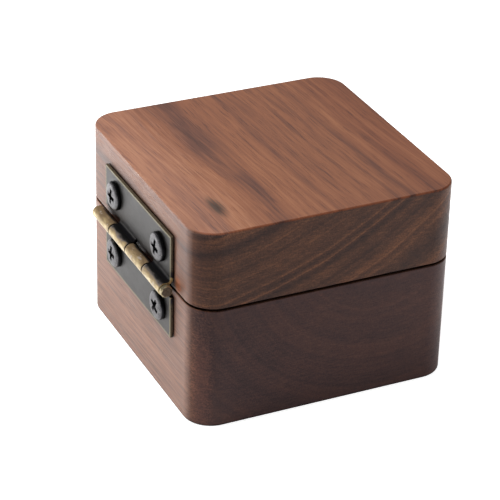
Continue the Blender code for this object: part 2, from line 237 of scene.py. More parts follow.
class Graph:
    """A material's node graph. Inputs take a number, a tuple or another node's output."""

    def __init__(self, name):
        self.material = bpy.data.materials.new(name)
        self.material.use_nodes = True
        self.nodes = self.material.node_tree.nodes
        self.links = self.material.node_tree.links
        self.shader = self.nodes["Principled BSDF"]

    def node(self, kind, inputs=(), output=0, **settings):
        made = self.nodes.new(kind)
        for name, value in settings.items():
            setattr(made, name, value)
        for socket, value in dict(inputs).items():
            self.feed(made.inputs[socket], value)
        return made.outputs[output]

    def feed(self, socket, value):
        if isinstance(value, bpy.types.NodeSocket):
            self.links.new(value, socket)
        elif isinstance(value, tuple) and len(value) == 3 and socket.type == "RGBA":
            socket.default_value = (*value, 1.0)
        else:
            socket.default_value = value

    def set(self, **values):
        for name, value in values.items():
            self.feed(self.shader.inputs[name.replace("_", " ")], value)

    def math(self, operation, a, b=0.0):
        return self.node("ShaderNodeMath", {0: a, 1: b}, operation=operation)

    def add(self, a, b):
        return self.math("ADD", a, b)

    def times(self, a, b):
        return self.math("MULTIPLY", a, b)

    def inverse(self, share):
        """One minus a share between 0 and 1."""
        return self.add(1.0, self.times(share, -1.0))

    def place(self):
        """The piece's own coordinates in millimetres."""
        where = self.node("ShaderNodeTexCoord", output="Object")
        return self.node("ShaderNodeVectorMath", {0: where, "Scale": 1 / MM},
                         operation="SCALE")

    def normal(self):
        """The X, Y and Z of the surface's direction, in the piece's own axes."""
        return self.split(self.node("ShaderNodeTexCoord", output="Normal"))

    def stretch(self, vector, x, y, z):
        return self.node("ShaderNodeVectorMath", {0: vector, 1: (x, y, z)},
                         operation="MULTIPLY")

    def split(self, vector):
        """A vector's X, Y and Z."""
        return self.node("ShaderNodeSeparateXYZ", {0: vector}).node.outputs

    def join(self, x, y, z):
        return self.node("ShaderNodeCombineXYZ", {0: x, 1: y, 2: z})

    def noise(self, vector, scale, detail=2.0, roughness=0.5):
        return self.node("ShaderNodeTexNoise", {
            "Vector": vector, "Scale": scale, "Detail": detail, "Roughness": roughness})

    def range(self, value, low, high, to_low=0.0, to_high=1.0, smooth=False):
        kind = "SMOOTHSTEP" if smooth else "LINEAR"
        return self.node("ShaderNodeMapRange", {
            "Value": value, "From Min": low, "From Max": high, "To Min": to_low,
            "To Max": to_high}, interpolation_type=kind, clamp=True)

    def spread(self, noise, to_low=0.0, to_high=1.0):
        """A noise, whose usual swing is from 0.3 to 0.7, spread out between two values."""
        return self.range(noise, 0.3, 0.7, to_low, to_high)

    def ramp(self, value, stops):
        """A colour read off a list of (position, colour) stops."""
        made = self.nodes.new("ShaderNodeValToRGB")
        self.feed(made.inputs["Fac"], value)
        elements = made.color_ramp.elements
        while len(elements) < len(stops):
            elements.new(0.5)
        for element, (position, colour) in zip(elements, stops):
            element.position = position
            element.color = (*colour, 1.0)
        return made.outputs["Color"]

    def blend_of(self, parts, start):
        """start plus each noise's swing about its middle value times its weight."""
        total = start
        for value, weight in parts:
            total = self.add(total, self.range(value, 0.28, 0.72, -weight, weight))
        return total

    def strongest(self, radius, rings):
        """The highest of several soft ridges, each (radius, half width, strength)."""
        total = 0.0
        for ring_radius, width, strength in rings:
            distance = self.math("ABSOLUTE", self.add(radius, -ring_radius))
            ridge = self.range(distance, 0.0, width, strength, 0.0, smooth=True)
            total = self.math("MAXIMUM", total, ridge)
        return total

    def mix(self, factor, a, b, blend="MIX"):
        made = self.nodes.new("ShaderNodeMix")
        made.data_type = "RGBA"
        made.blend_type = blend
        self.feed(made.inputs["Factor"], factor)
        colours = [s for s in made.inputs if s.type == "RGBA"]
        self.feed(colours[0], a)
        self.feed(colours[1], b)
        return [s for s in made.outputs if s.type == "RGBA"][0]

    def bump(self, height, distance, strength):
        normal = self.node("ShaderNodeBump", {
            "Height": height, "Distance": distance, "Strength": strength})
        self.set(Normal=normal)


# Walnut


def wood_place(g, p, pith, tilt):
    """X, and Y and Z with the grain's slow wander, and the distance from the pith line."""
    x, y, z = g.split(p)
    wander = g.range(g.noise(g.stretch(p, 0.035, 0.07, 0.07), 1.0, 1.0), 0.25, 0.75, -0.5, 0.5)
    y = g.add(g.add(y, g.times(x, -tilt)), wander)
    z = g.add(z, g.times(wander, 0.6))
    from_pith = g.join(g.add(y, -pith[0]), g.add(z, -pith[1]), 0.0)
    radius = g.node("ShaderNodeVectorMath", {0: from_pith}, operation="LENGTH", output="Value")
    return x, y, z, radius


def warm_top_edge(g, p, along, colour):
    """The rounded edge round the lid's top is warmer than the end grain below it."""
    normal_x, _, normal_z = g.normal()
    slant = g.times(g.math("ABSOLUTE", normal_x), g.math("ABSOLUTE", normal_z))
    at_top = g.range(g.split(p)[2], lid_high.z / MM - 1.0, lid_high.z / MM - 0.8)
    slant = g.times(g.range(slant, 0.12, 0.42, 0.0, 0.8), at_top)
    edge_on = g.mix(g.range(along, 0.42, 0.66), (0.170, 0.055, 0.028), (0.050, 0.024, 0.020))
    return g.mix(slant, colour, edge_on)


def soft_spot(g, p, fibres, colour, centre, reach, tint, strength):
    """Multiplies the colour by tint round centre, with an outline that the fibres fray."""
    offset = g.node("ShaderNodeVectorMath", {0: p, 1: centre}, operation="SUBTRACT")
    offset = g.stretch(offset, *(1.0 / length for length in reach))
    near = g.node("ShaderNodeVectorMath", {0: offset}, operation="LENGTH", output="Value")
    near = g.add(near, g.spread(fibres, -0.25, 0.25))
    near = g.range(near, 0.15, 1.0, strength, 0.0, smooth=True)
    return g.mix(near, colour, tint, "MULTIPLY")


def walnut(name, pith, tilt, turn, dark_rings, light_rings, long_grain, end_grain, tints_and_painted_light):
    """Solid walnut whose grain runs along X, with growth rings round the pith line.

    pith is the (y, z) of the rings' centre at X = 0, and tilt is the grain's drift along Y per
    length along X. End grain takes over as a face's |normal X| goes through the two values of
    turn. The rings are (radius, half width, strength). The two grains are colour stops from
    light to dark, and the soft spots are each (centre, reach along each axis, tint,
    strength): some are the wood's own stains and knots, and some are painted shade and
    painted light. Lengths are in millimetres.
    """
    g = Graph(name)
    p = g.place()
    x, y, z, radius = wood_place(g, p, pith, tilt)
    q = g.join(x, y, z)

    # Growth rings from broad to fine, and the marked ones in patches along the grain
    broad = g.noise(g.join(g.times(radius, 0.26), g.times(x, 0.012), 1.7), 1.0, 1.0)
    close = g.noise(g.join(g.times(radius, 1.0), g.times(x, 0.035), 5.1), 1.0, 2.0, 0.6)
    fine = g.noise(g.join(g.times(radius, 3.4), g.times(x, 0.10), 8.3), 1.0, 1.0)
    patches = g.noise(g.join(g.times(x, 0.075), g.times(radius, 0.5), 2.2), 1.0, 2.0)
    patches = g.range(patches, 0.36, 0.60, 0.45, 1.0, smooth=True)
    dark = g.strongest(radius, dark_rings)
    light = g.strongest(radius, light_rings)

    # Fibres and open pores, long along the grain and round across it
    strands = g.noise(g.stretch(q, 0.030, 1.7, 1.7), 1.0, 1.0)
    fibres = g.noise(g.stretch(q, 0.10, 4.4, 4.4), 1.0, 2.0, 0.6)
    pores = g.noise(g.stretch(q, 0.20, 5.5, 5.5), 1.0, 1.0)
    pores = g.range(pores, 0.57, 0.72, 0.0, 1.0, smooth=True)

    along = g.blend_of([(broad, 0.12), (close, 0.08), (fine, 0.07), (strands, 0.07),
                        (fibres, 0.08)], 0.375)
    along = g.add(along, g.times(g.times(dark, patches), 0.28))
    along = g.add(along, g.times(pores, 0.20))

    # Cut across, the rings stand out, over the faint level lines that sanding leaves
    sanding = g.noise(g.join(0.0, g.times(y, 0.32), g.times(z, 4.5)), 1.0, 2.0, 0.7)
    clouds = g.noise(g.stretch(p, 0.02, 0.10, 0.16), 1.0, 3.0, 0.6)
    cut = g.blend_of([(broad, 0.10), (close, 0.07), (fine, 0.06), (fibres, 0.20),
                      (sanding, 0.17), (clouds, 0.10)], 0.48)
    cut = g.add(cut, g.add(g.times(dark, 0.26), g.times(light, -0.30)))
    cut = g.add(cut, g.times(pores, 0.14))
    across = g.range(g.math("ABSOLUTE", g.normal()[0]), *turn, smooth=True)
    colour = g.mix(across, g.ramp(along, long_grain), g.ramp(cut, end_grain))
    colour = warm_top_edge(g, p, along, colour)

    # Little light reaches the seam between the closed halves, or any gap as narrow
    open_air = g.node("ShaderNodeAmbientOcclusion", {"Distance": 1.0 * MM}, samples=8,
                      output="AO")
    shaded = g.range(open_air, 0.36, 0.88, 0.98, 0.0)
    colour = g.mix(shaded, colour, (0.0, 0.0, 0.0))
    # Soft spots: the wood's own stains and knots, and painted shade and painted light
    for mark in tints_and_painted_light:
        colour = soft_spot(g, p, fibres, colour, *mark)

    # End grain hardly shines, except where it is seen at a glancing angle
    glancing = g.node("ShaderNodeLayerWeight", {"Blend": 0.5}, output="Facing")
    sheen = g.math("MAXIMUM", g.range(across, 0.0, 0.6, 0.75, 0.12),
                   g.range(glancing, 0.70, 0.95, 0.0, 0.5))
    g.set(Base_Color=colour, Roughness=g.spread(fibres, 0.40, 0.54),
          Specular_IOR_Level=g.times(sheen, g.inverse(shaded)))
    g.bump(g.add(g.times(pores, -1.0), g.times(fibres, 0.4)), 0.035 * MM, 0.5)
    return g.material


def walnut_lid():
    dark = [(69.9, 1.7, 0.95), (66.6, 0.5, 0.5), (66.0, 0.4, 0.4), (74.3, 0.6, 0.6),
            (78.3, 0.5, 0.6), (80.1, 0.4, 0.4), (81.9, 1.0, 0.85), (84.8, 0.7, 0.65),
            (85.9, 0.6, 0.55), (92.3, 2.6, 1.0)]
    light = [(72.2, 0.35, 0.45), (76.2, 0.3, 0.5), (79.3, 0.35, 0.9), (81.0, 0.28, 1.0),
             (87.6, 0.4, 0.7), (89.2, 0.5, 0.5), (95.6, 0.5, 0.5)]
    long_grain = [(0.0, (0.310, 0.140, 0.076)), (0.38, (0.208, 0.089, 0.053)),
                  (0.68, (0.118, 0.057, 0.043)), (1.0, (0.052, 0.034, 0.032))]
    end_grain = [(0.0, (0.210, 0.088, 0.046)), (0.40, (0.100, 0.048, 0.032)),
                 (0.65, (0.060, 0.032, 0.025)), (1.0, (0.026, 0.018, 0.018))]
    # Painted shade on the wood behind the hinge's barrel
    tints_and_painted_light = [((0.0, 25.0, 24.8), (22.0, 1.4, 2.2), (0.10, 0.10, 0.12), 0.95),
             ((-17.0, 25.2, 24.9), (1.8, 1.0, 2.4), (1.60, 1.00, 0.48), 0.9),
             # Painted shade on the hinge face towards the near corner
             ((-22.0, 25.0, 32.0), (7.5, 4.0, 9.5), (0.62, 0.62, 0.66), 0.70),
             ((0.0, 25.4, 31.0), (70.0, 1.5, 9.0), (0.68, 0.76, 0.80), 0.60),
             # Painted light round the near corner
             ((-23.6, 23.4, 31.0), (2.6, 2.6, 14.0), (1.25, 1.22, 1.22), 1.0),
             # Painted sheen along the top, on the hinge side
             ((0.0, 24.0, 38.2), (80.0, 13.0, 1.2), (1.26, 1.42, 1.58), 1.0),
             # Painted shade on the top, away from the hinge
             ((0.0, -22.0, 38.2), (60.0, 10.0, 1.2), (0.88, 0.82, 0.84), 0.8),
             ((-16.2, 17.6, 38.0), (5.0, 1.6, 2.0), (0.22, 0.33, 0.44), 0.95)]
    return walnut("walnut_lid", (36.4, 102.5), 0.055, (0.07, 0.72), dark, light, long_grain,
                  end_grain, tints_and_painted_light)


def walnut_base():
    dark = [(14.0, 1.2, 0.25), (20.0, 1.6, 0.35), (28.5, 1.8, 0.35), (37.0, 1.4, 0.4)]
    light = [(17.0, 0.6, 0.20), (24.5, 0.7, 0.25), (33.0, 0.8, 0.2)]
    long_grain = [(0.0, (0.390, 0.190, 0.112)), (0.30, (0.262, 0.119, 0.070)),
                  (0.62, (0.132, 0.062, 0.043)), (1.0, (0.050, 0.031, 0.027))]
    end_grain = [(0.0, (0.110, 0.052, 0.040)), (0.40, (0.069, 0.036, 0.032)),
                 (0.65, (0.050, 0.029, 0.029)), (1.0, (0.030, 0.020, 0.021))]
    # Painted shade on the wood behind the hinge's barrel
    tints_and_painted_light = [((0.0, 25.0, 22.8), (24.0, 1.4, 1.6), (0.10, 0.10, 0.12), 0.95),
             # Painted light round the near corner
             ((-23.6, 23.4, 9.0), (2.6, 2.6, 18.0), (1.85, 1.60, 1.40), 1.0)]
    return walnut("walnut_base", (-10.0, 34.0), 0.02, (0.0, 0.74), dark, light, long_grain,
                  end_grain, tints_and_painted_light)


# Metal


def pin_polar(g, p):
    """Distance from the pin's axis in millimetres, and the angle round it in degrees from +Y."""
    _, y, z = g.split(p)
    pin_y = g.add(y, -PIN.y / MM)
    pin_z = g.add(z, -PIN.z / MM)
    squared = g.add(g.times(pin_y, pin_y), g.times(pin_z, pin_z))
    angle = g.times(g.math("ARCTAN2", pin_z, pin_y), math.degrees(1.0))
    return g.math("SQRT", squared), angle


def outline_distance(g, p, node):
    """Distance in millimetres from the nearest of a plate's two ends and its far edge."""
    low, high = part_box(node)
    x, _, z = g.split(p)
    ends = [g.add(x, -low.x / MM), g.add(g.times(x, -1.0), plate_right() / MM)]
    if node.endswith("lid"):
        ends.append(g.add(g.times(z, -1.0), high.z / MM))
    else:
        ends.append(g.add(z, -low.z / MM))
    return g.math("MINIMUM", ends[0], g.math("MINIMUM", ends[1], ends[2]))


def rubbed_and_lit_barrel(g, on_barrel, angle, smears, rub_angle):
    """How far the barrel is bright, partly rubbed and partly a painted reflection of the floor:
    from its underside up to a ragged angle.
    """
    ragged = g.add(angle, g.spread(smears, -14.0, 14.0))
    lighter_share = g.range(ragged, rub_angle - 18.0, rub_angle + 18.0, 1.0, 0.0, smooth=True)
    outward = g.range(angle, -95.0, -75.0, 0.0, 1.0, smooth=True)
    return g.times(g.times(on_barrel, lighter_share), outward)


def barrel_brass_and_painted_light(g, p, angle, smears, shade_and_tarnish):
    """Streaky brass that darkens towards the barrel's top, partly tarnish and partly painted
    shade, and pales towards its underside with a painted reflection of the floor, with painted
    glints in patches.
    """
    streaky = g.spread(smears, 0.36, 0.68)
    # By the angle round the pin: a painted reflection of the bright floor below, and painted shade
    # above
    warm = g.range(g.add(streaky, g.range(angle, -40.0, 70.0, -0.26, 0.26)), 0.28, 0.74)
    brass = g.ramp(warm, [(0.0, (0.80, 0.70, 0.48)), (0.32, (0.55, 0.43, 0.235)),
                          (0.66, (0.34, 0.245, 0.13)), (1.0, shade_and_tarnish)])
    # Painted glints, in patches
    painted_glints = g.range(g.noise(g.stretch(p, 0.8, 1.4, 1.4), 1.0, 1.0), 0.62, 0.70, 0.0, 0.6)
    return g.mix(painted_glints, brass, (0.50, 0.45, 0.42))


def browned_plate(g, p, node, outward, specks, mottle):
    """Brown sheet worn to brass along its outline, and how far each point is on a cut edge."""
    facing = g.range(outward, 0.45, 0.75, smooth=True)
    outline = g.add(outline_distance(g, p, node), g.spread(specks, -0.10, 0.10))
    worn = g.times(g.range(outline, 0.22, 0.50, 0.75, 0.0, smooth=True), facing)
    cut_edge = g.times(g.range(outline, 0.02, 0.10, 0.8, 0.0), g.inverse(facing))
    brown = g.mix(g.spread(mottle), (0.039, 0.037, 0.036), (0.055, 0.052, 0.051))
    brown = g.mix(cut_edge, brown, (0.140, 0.110, 0.068))
    return g.mix(worn, brown, (0.240, 0.205, 0.125)), cut_edge


def colour_cut_ends(g, p, node, radius, endways, colour):
    """The sheet's cut ends get painted shade inside the barrel, and a painted highlight beside the
    pin's head.
    """
    outer_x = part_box(node)[0].x / MM
    at_head = g.range(g.split(p)[0], outer_x + 0.35, outer_x + 0.20, 0.0, 1.0)
    cut_end = g.times(g.range(g.math("ABSOLUTE", endways), 0.4, 0.8),
                      g.range(radius, 2.5, 2.2, 0.0, 1.0))
    colour = g.mix(g.times(cut_end, g.inverse(at_head)), colour, (0.020, 0.015, 0.012))
    return g.mix(g.times(cut_end, at_head), colour, (0.50, 0.37, 0.17))


def bronze(name, node, rub_angle, shade_and_tarnish):
    """Browned sheet, rubbed back to brass on its edges, and brass on the barrel's outward side,
    which is partly rubbed and partly a painted reflection of the bright floor.

    The barrel is bright below an angle, given in degrees up from +Y round the pin, and takes a
    given colour towards its top, which is partly tarnish and partly painted shade.
    """
    g = Graph(name)
    p = g.place()
    radius, angle = pin_polar(g, p)
    endways, outward, _ = g.normal()
    smears = g.noise(g.stretch(p, 0.45, 1.3, 1.3), 1.0, 3.0, 0.6)
    specks = g.noise(p, 3.2, 2.0, 0.6)
    mottle = g.noise(g.stretch(p, 0.6, 1.0, 1.0), 0.8, 4.0, 0.65)
    scratches = g.noise(g.stretch(p, 0.35, 6.0, 6.0), 1.0, 2.0, 0.6)

    on_barrel = g.range(radius, 1.40, 1.22, 0.0, 1.0, smooth=True)
    # Brass on the barrel's outward side: partly rubbed, and partly a painted reflection of the
    # bright floor
    barrel = rubbed_and_lit_barrel(g, on_barrel, angle, smears, rub_angle)
    plate, cut_edge = browned_plate(g, p, node, outward, specks, mottle)
    colour = g.mix(barrel, plate, barrel_brass_and_painted_light(g, p, angle, smears, shade_and_tarnish))

    # Painted shade darkens the plate where it turns in to the barrel, and there it also shines
    # less at a glancing angle
    turned_in = g.times(g.range(radius, 3.9, 3.1, 0.0, 1.0), g.range(outward, 0.97, 0.7, 0.0, 1.0))
    turned_in = g.times(turned_in, g.inverse(on_barrel))
    colour = g.mix(turned_in, colour, (0.036, 0.034, 0.038))
    edge_tint = g.mix(turned_in, (1.0, 1.0, 1.0), (0.15, 0.15, 0.15))
    colour = colour_cut_ends(g, p, node, radius, endways, colour)

    rough = g.add(g.spread(mottle, 0.36, 0.46), g.times(barrel, 0.04))
    dull = g.math("MAXIMUM", barrel, cut_edge)
    g.set(Base_Color=colour, Metallic=g.range(dull, 0.0, 1.0, 0.92, 0.45), Roughness=rough,
          Specular_Tint=edge_tint)
    bevel = g.node("ShaderNodeBevel", {"Radius": 0.22 * MM}, samples=6)
    height = g.add(g.times(scratches, 0.5), g.add(mottle, g.times(specks, 0.4)))
    g.set(Normal=g.node("ShaderNodeBump", {"Height": height, "Distance": 0.008 * MM,
                                           "Strength": 0.5, "Normal": bevel}))
    return g.material


def pin_metal():
    """Brass with a dark brown flat end, worn bright round its rim."""
    g = Graph("pin_brass")
    p = g.place()
    radius, _ = pin_polar(g, p)
    head = (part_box("hinge_pin")[1].z - PIN.z) / MM
    ragged = g.add(radius, g.spread(g.noise(p, 1.8, 3.0), -0.10, 0.10))
    face = g.range(ragged, head - 0.24, head - 0.10, 1.0, 0.0, smooth=True)
    mottle = g.noise(p, 2.2, 4.0, 0.6)
    brass = g.mix(g.range(mottle, 0.35, 0.65), (0.34, 0.27, 0.15), (0.60, 0.52, 0.34))
    brown = g.mix(g.range(mottle, 0.35, 0.65), (0.070, 0.052, 0.038), (0.130, 0.100, 0.074))
    g.set(Base_Color=g.mix(face, brass, brown), Metallic=0.9,
          Roughness=g.spread(mottle, 0.34, 0.52))
    g.bump(mottle, 0.02 * MM, 0.6)
    return g.material


def screw_metal():
    """Blackened steel whose domed face has been rubbed grey."""
    g = Graph("screw_black")
    p = g.place()
    mottle = g.noise(p, 1.5, 4.0, 0.65)
    fine = g.noise(p, 5.0, 2.0, 0.6)
    facing = g.range(g.normal()[1], 0.30, 0.80, smooth=True)
    raised = (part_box("hinge_screw_lid_left")[1].y - 0.55 * SCREW_HEAD_HEIGHT) / MM
    outside = g.range(g.split(p)[1], raised, raised + 0.15, smooth=True)
    lighter_share = g.times(g.times(facing, outside), g.range(mottle, 0.34, 0.62, 0.30, 1.0))
    colour = g.mix(lighter_share, (0.014, 0.014, 0.016), (0.175, 0.170, 0.178))
    colour = g.mix(g.times(g.range(fine, 0.58, 0.70), facing), colour, (0.30, 0.285, 0.28))
    g.set(Base_Color=colour, Metallic=0.9, Roughness=g.spread(mottle, 0.34, 0.48))
    g.bump(g.add(mottle, g.times(fine, 0.4)), 0.02 * MM, 0.5)
    return g.material


def nickel():
    """Nickel plate with a faint mottle."""
    g = Graph("nickel")
    p = g.place()
    fine = g.noise(p, 1.2, 4.0, 0.6)
    g.set(Base_Color=g.mix(fine, (0.40, 0.39, 0.38), (0.60, 0.58, 0.56)), Metallic=0.78,
          Roughness=g.spread(fine, 0.22, 0.38))
    g.bump(fine, 0.003 * MM, 0.3)
    return g.material


# Card, foam and velvet


def card():
    """Uncoated grey-brown card with dark flecks."""
    g = Graph("card")
    p = g.place()
    fibre = g.noise(g.stretch(p, 1.0, 0.4, 1.0), 3.0, 5.0, 0.7)
    flecks = g.range(g.noise(p, 6.0, 1.0), 0.66, 0.74, smooth=True)
    colour = g.mix(g.spread(fibre), (0.36, 0.31, 0.24), (0.50, 0.44, 0.35))
    g.set(Base_Color=g.mix(flecks, colour, (0.20, 0.17, 0.13)), Roughness=0.9)
    g.bump(fibre, 0.05 * MM, 0.6)
    return g.material


def foam():
    """Open-cell foam, with painted shade in the hollow middle of each cell."""
    g = Graph("foam")
    p = g.place()
    cells = g.node("ShaderNodeTexVoronoi", {"Vector": p, "Scale": 2.2}, feature="F1")
    shade = g.noise(p, 0.3, 3.0)
    colour = g.mix(g.range(cells, 0.1, 0.6), (0.52, 0.48, 0.36), (0.80, 0.77, 0.66))
    g.set(Base_Color=g.mix(g.times(shade, 0.3), colour, (0.72, 0.66, 0.48)), Roughness=0.95)
    g.bump(cells, 0.15 * MM, 0.8)
    return g.material


def velvet():
    """Short pile that lightens at a glancing angle and lies over in soft patches."""
    g = Graph("velvet")
    p = g.place()
    nap = g.noise(p, 0.16, 3.0, 0.55)
    pile = g.noise(p, 7.0, 3.0, 0.7)
    colour = g.mix(g.spread(nap), (0.40, 0.30, 0.19), (0.58, 0.47, 0.33))
    colour = g.mix(g.spread(pile, 0.0, 0.55), colour, (0.26, 0.19, 0.12))
    g.set(Base_Color=colour, Roughness=0.9, Specular_IOR_Level=0.15, Sheen_Weight=0.9,
          Sheen_Roughness=0.35, Sheen_Tint=(0.95, 0.86, 0.70))
    g.bump(g.add(pile, g.times(nap, 0.5)), 0.10 * MM, 0.8)
    return g.material


# Wooden blocks


def rounded_edge(half, corner, z_edge, radius, inward, vertical, steps=5):
    """Rings that turn an upright side into a level face at z_edge.

    inward is 1 for an outer side and -1 for a cavity's, and vertical is 1 for a face that looks
    up and -1 for one that looks down.
    """
    rings = []
    for step in range(steps + 1):
        angle = math.pi / 2 * step / steps
        inset = inward * radius * (1 - math.cos(angle))
        z = z_edge - vertical * radius * (1 - math.sin(angle))
        rings.append(rounded_rectangle(half - inset, half - inset, corner - inset, z))
    return rings


def box_shell(name, closed_z, rim_z, cavity_z):
    """A block hollowed from its rim, from the closed outer face to the cavity's flat end."""
    half = BOX_WIDTH / 2
    cavity_half = half - WALL
    out = 1 if rim_z > closed_z else -1
    closed_edge = rounded_edge(half, CORNER_RADIUS, closed_z, TOP_EDGE_RADIUS, 1, -out)
    rim_outer = rounded_edge(half, CORNER_RADIUS, rim_z, RIM_EDGE_RADIUS, 1, out)
    rim_inner = rounded_edge(
        cavity_half, CAVITY_CORNER_RADIUS, rim_z, RIM_EDGE_RADIUS, -1, out)
    cavity_end = rounded_rectangle(cavity_half, cavity_half, CAVITY_CORNER_RADIUS, cavity_z)
    rings = closed_edge[::-1] + rim_outer + rim_inner[::-1] + [cavity_end]
    return loft(name, rings)


def hole_cutter(name, radius, start, end, side, up):
    """A round rod from start to end, square to the unit vectors side and up."""
    return loft(name, [circle(radius, HOLE_STEPS, point, side, up) for point in (start, end)])


def screw_holes(side):
    """Cutters for the pilot holes of one block's screws, each a little past the screw's tip."""
    tools = []
    for label in ("left", "right"):
        low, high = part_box(f"hinge_screw_{side}_{label}")
        centre = (low + high) / 2
        ends = [Vector((centre.x, y, centre.z)) for y in (low.y - PILOT_SPARE, high.y)]
        tools.append(hole_cutter(f"{side}_{label}_pilot", SCREW_HOLE_RADIUS, *ends,
                                 X_AXIS, Z_AXIS))
    return tools


def magnet_holes(side, out):
    """Cutters for the pockets in one block's rim, which looks up if out is 1, or down if -1."""
    tools = []
    for label in ("left", "right"):
        low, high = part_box(f"rim_magnet_{side}_{label}")
        centre = (low + high) / 2
        height = high.z - low.z
        ends = [centre + out * height * share * Z_AXIS for share in (-0.6, 1.0)]
        radius = (high.x - low.x) / 2 + MAGNET_SIDE_GAP
        tools.append(hole_cutter(f"{side}_{label}_pocket", radius, *ends, X_AXIS, Y_AXIS))
    return tools


def make_boxes(finishes):
    base = stand_for("base_box", box_shell("base_box", box_low.z, box_high.z,
                     box_low.z + FLOOR_THICKNESS), finishes["walnut_base"])
    lid = stand_for("lid_box", box_shell("lid_box", lid_high.z, lid_low.z,
                    lid_high.z - ROOF_THICKNESS), finishes["walnut_lid"])
    for piece, side, out in ((base, "base", 1), (lid, "lid", -1)):
        cut(piece, screw_holes(side) + magnet_holes(side, out))
        keep_flats_flat(piece)


# Hinge


def sheet_section(plate_y, roll, reach):
    """Middle line of a leaf's sheet as (y, z) from the pin's axis, for the leaf above it.

    The plate comes down from reach at plate_y, bends outward, and rolls round the pin at the
    radius roll.
    """
    bend_y = plate_y + BEND_RADIUS
    bend_z = math.sqrt((BEND_RADIUS + roll) ** 2 - bend_y ** 2)
    contact = math.atan2(bend_z, bend_y)
    section = [(plate_y, reach)]
    bend_steps = 16
    for step in range(bend_steps + 1):
        angle = math.pi + contact * step / bend_steps
        section.append((bend_y + BEND_RADIUS * math.cos(angle),
                        bend_z + BEND_RADIUS * math.sin(angle)))
    roll_steps = 46
    for step in range(1, roll_steps + 1):
        angle = contact - ROLL_SWEEP * step / roll_steps
        section.append((roll * math.cos(angle), roll * math.sin(angle)))
    return section


def plate_right():
    """Where both plates end at the right, short of the barrel's end."""
    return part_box("hinge_leaf_lid")[1].x


def knuckle_spans(first):
    """The stretches of X that hold every second knuckle, counted from the right end."""
    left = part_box("hinge_leaf_base")[0].x
    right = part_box("hinge_leaf_base")[1].x
    width = (right - left) / KNUCKLES
    spans = []
    for index in range(first, KNUCKLES, 2):
        high = right - index * width
        trim_high = KNUCKLE_GAP / 2 if index > 0 else 0.0
        trim_low = KNUCKLE_GAP / 2 if index < KNUCKLES - 1 else 0.0
        spans.append((high - width + trim_low, high - trim_high))
    return spans


def leaf_sheet(name, first_knuckle, up, low, high):
    """A plate whose knuckle stretches go on into rolls round the pin, without thickness."""
    barrel = high.y - PIN.y
    reach = (high.z - PIN.z) if up > 0 else (PIN.z - low.z)
    section = sheet_section(low.y + SHEET / 2 - PIN.y, barrel - SHEET / 2, reach)
    spans = knuckle_spans(first_knuckle)
    ends = [low.x, plate_right()] + [end for span in spans for end in span]
    stations = sorted({round(end, 6) for end in ends})
    bm = bmesh.new()
    corners = {}

    def corner(column, row):
        if (column, row) not in corners:
            y, z = section[row]
            corners[column, row] = bm.verts.new((stations[column], PIN.y + y, PIN.z + up * z))
        return corners[column, row]

    for column in range(len(stations) - 1):
        middle = (stations[column] + stations[column + 1]) / 2
        is_knuckle = any(left < middle < right for left, right in spans)
        first_row = 0 if middle < plate_right() else 1
        last_row = len(section) - 1 if is_knuckle else 1
        for row in range(first_row, last_row):
            bm.faces.new((corner(column, row), corner(column + 1, row),
                          corner(column + 1, row + 1), corner(column, row + 1)))
    return mesh_from(name, bm)


def make_leaf(side, first_knuckle, up, finish):
    node = f"hinge_leaf_{side}"
    low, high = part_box(node)
    leaf = stand_for(node, leaf_sheet(node, first_knuckle, up, low, high), finish)
    thickness = leaf.modifiers.new("sheet", "SOLIDIFY")
    thickness.thickness = SHEET
    thickness.offset = 0.0
    thickness.use_even_offset = True
    tools = []
    for label in ("left", "right"):
        screw_low, screw_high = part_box(f"hinge_screw_{side}_{label}")
        centre = (screw_low + screw_high) / 2
        ends = [Vector((centre.x, y, centre.z)) for y in (low.y - MM, low.y + 2 * MM)]
        tools.append(hole_cutter(f"{node}_{label}_hole", SCREW_HOLE_RADIUS, *ends,
                                 X_AXIS, Z_AXIS))
    cut(leaf, tools)
    leaf.data.shade_smooth()
    leaf.data.set_sharp_from_angle(angle=math.radians(35))
    soften_edges(leaf, SHEET_EDGE)


def make_pin(finish):
    """A pin whose flat head has a shallow dish and a rounded rim, with a chamfered far end."""
    low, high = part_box("hinge_pin")
    head = (high.z - low.z) / 2
    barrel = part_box("hinge_leaf_lid")[1].y - PIN.y
    shaft = barrel - SHEET - PIN_CLEARANCE
    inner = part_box("hinge_leaf_lid")[0].x - PIN_HEAD_GAP
    edge, edge_steps = PIN_HEAD_EDGE, 6
    dish, chamfer, tip_length, tip_depth = 0.04 * MM, 0.1 * MM, 0.12 * MM, 0.15 * MM
    profile = [(low.x + dish, 0.25 * head), (low.x, 0.62 * head)]
    for step in range(edge_steps + 1):
        angle = math.pi / 2 * step / edge_steps
        profile.append((low.x + edge * (1 - math.cos(angle)), head - edge * (1 - math.sin(angle))))
    profile += [(inner - chamfer, head), (inner, head - chamfer), (inner, shaft),
                (high.x - tip_length, shaft), (high.x, shaft - tip_depth)]
    rings = [circle(radius, ROUND_STEPS, Vector((x, PIN.y, PIN.z)), Y_AXIS, Z_AXIS)
             for x, radius in profile]
    stand_for("hinge_pin", loft("hinge_pin", rings), finish)


# Screws


def threaded_rings(centre, point_y, end_y):
    """Rings up a screw's shank, whose radius follows a thread that fades in and out."""
    pitch, taper_length, per_turn = 0.75 * MM, 1.2 * MM, 10
    count = int((end_y - point_y) / pitch * per_turn)
    rings = []
    for index in range(count + 1):
        y = point_y + (end_y - point_y) * index / count
        taper = min(1.0, (y - point_y) / taper_length + 0.12)
        run_out = min(1.0, (end_y - y) / (0.8 * pitch))
        ring = []
        for step in range(ROUND_STEPS):
            phase = ((y - point_y) / pitch + step / ROUND_STEPS) % 1.0
            ridge = max(0.0, 1.0 - abs(phase - 0.5) * 5.0) * run_out
            radius = taper * (THREAD_CORE + (THREAD_CREST - THREAD_CORE) * ridge)
            angle = 2 * math.pi * step / ROUND_STEPS
            ring.append(Vector((centre.x + radius * math.cos(angle), y,
                                centre.z + radius * math.sin(angle))))
        rings.append(ring)
    return rings


